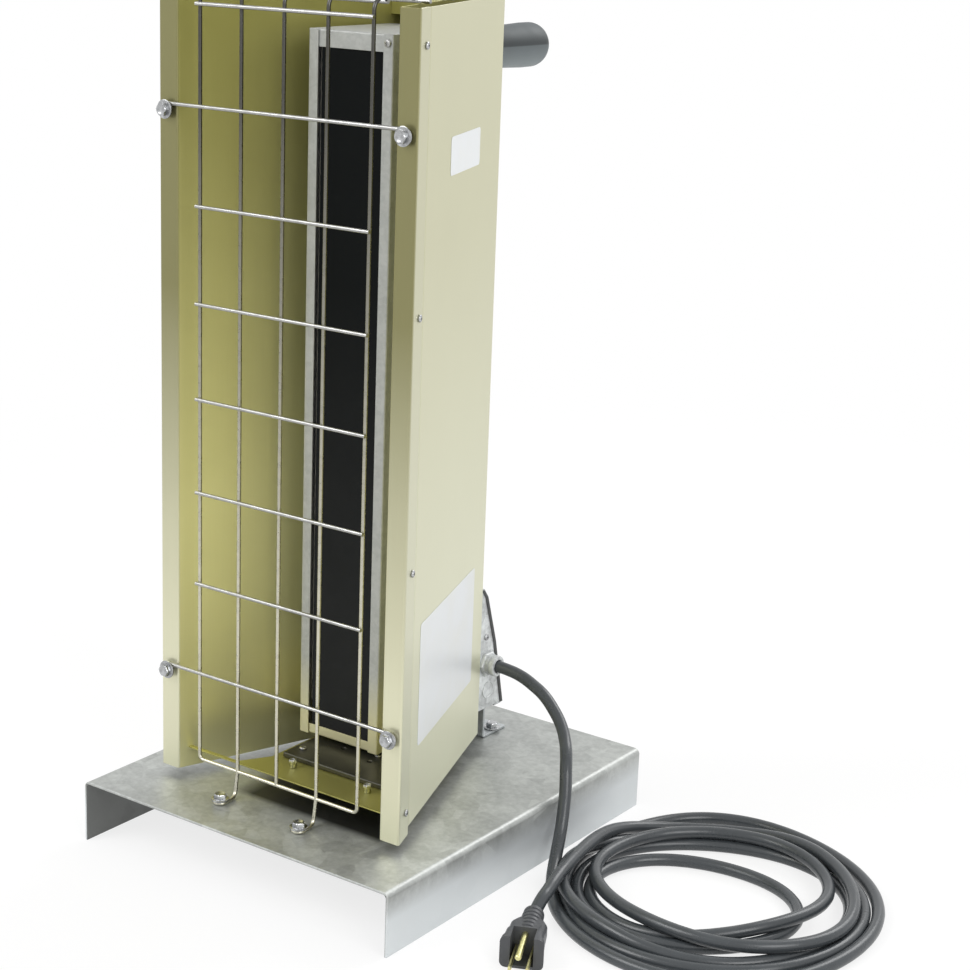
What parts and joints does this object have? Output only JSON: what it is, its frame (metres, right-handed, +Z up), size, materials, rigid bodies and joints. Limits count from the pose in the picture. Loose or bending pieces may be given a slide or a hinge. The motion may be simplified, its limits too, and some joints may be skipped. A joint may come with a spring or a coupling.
{
  "type": "infrared heater",
  "caption": "Portable electric infrared heater: gold trough reflector with a dark panel emitter and wire guard on a folded sheet base, with a back handle and a coiled cord.",
  "frame": {"origin": "on the floor, under the middle of the heater's box without its cord", "axes": "+Z up from the floor, the open front with its guard towards -Y, the handle towards +Y"},
  "size_m": [0.5669, 0.3758, 0.6725],
  "materials": {
    "galvanised": "mottled zinc",
    "gold_sheet": "satin gold",
    "pale_gold_cover": "satin",
    "bright_zinc": "bright",
    "steel": "plain",
    "black_panel": "matte",
    "dark_plate": "satin",
    "insulation": "fibre board",
    "black_plastic": "satin",
    "grey_rubber": "satin",
    "cord_jacket": "satin",
    "brass": "bright"
  },
  "bodies": {
    "heater": {"base_plate": "galvanised", "reflector_left": "gold_sheet", "reflector_right": "gold_sheet", "side_cover_left": "pale_gold_cover", "side_cover_right": "pale_gold_cover", "rear_cover": "pale_gold_cover", "rear_top_cap": "gold_sheet", "wire_guard": "bright_zinc", "top_guard": "bright_zinc", "guard_foot_screw_left": "bright_zinc", "guard_foot_screw_right": "bright_zinc", "frame_left": "galvanised", "frame_right": "galvanised", "frame_top": "galvanised", "frame_bottom": "galvanised", "frame_back": "galvanised", "frame_screw_right": "steel", "emitter_face": "black_panel", "heating_element": "steel", "insulation_board": "insulation", "emitter_bracket": "galvanised", "bottom_panel": "gold_sheet", "wiring_plate": "dark_plate", "wiring_plate_screw": "steel", "plate_standoff_left": "bright_zinc", "plate_standoff_right": "bright_zinc", "junction_box": "galvanised", "box_cover": "galvanised", "cord_connector": "bright_zinc", "connector_locknut": "bright_zinc", "rear_bracket": "galvanised", "bracket_bolt_left": "bright_zinc", "bracket_bolt_right": "bright_zinc", "plunger_spring": "steel", "tip_switch": "black_plastic", "terminal_block": "black_plastic", "emitter_lead_left": "black_plastic", "emitter_lead_right": "black_plastic", "handle_tube": "steel", "handle_grip": "grey_rubber", "cord_lead": "cord_jacket", "cord_coil": "cord_jacket", "cord_tail": "cord_jacket", "plug_body": "black_plastic", "plug_blade_left": "brass", "plug_blade_right": "brass", "plug_ground_pin": "brass", "guard_screw_left_lower": "bright_zinc", "guard_screw_left_upper": "bright_zinc", "side_screw_left_1": "bright_zinc", "side_screw_left_2": "bright_zinc", "side_screw_left_3": "bright_zinc", "side_screw_left_4": "bright_zinc", "guard_screw_right_lower": "bright_zinc", "guard_screw_right_upper": "bright_zinc", "side_screw_right_1": "bright_zinc", "side_screw_right_2": "bright_zinc", "side_screw_right_3": "bright_zinc", "side_screw_right_4": "bright_zinc"},
    "plunger": {"tip_plunger": "black_plastic"}
  },
  "joints": [
    {"name": "tip_switch_plunger", "type": "slide", "parent": "heater", "child": "plunger", "axis": [0, 0, 1], "range_m": [-0.008, 0], "stiffness_N_per_m": 250, "springref_m": -0.016, "deforming": ["plunger_spring"]}
  ]
}
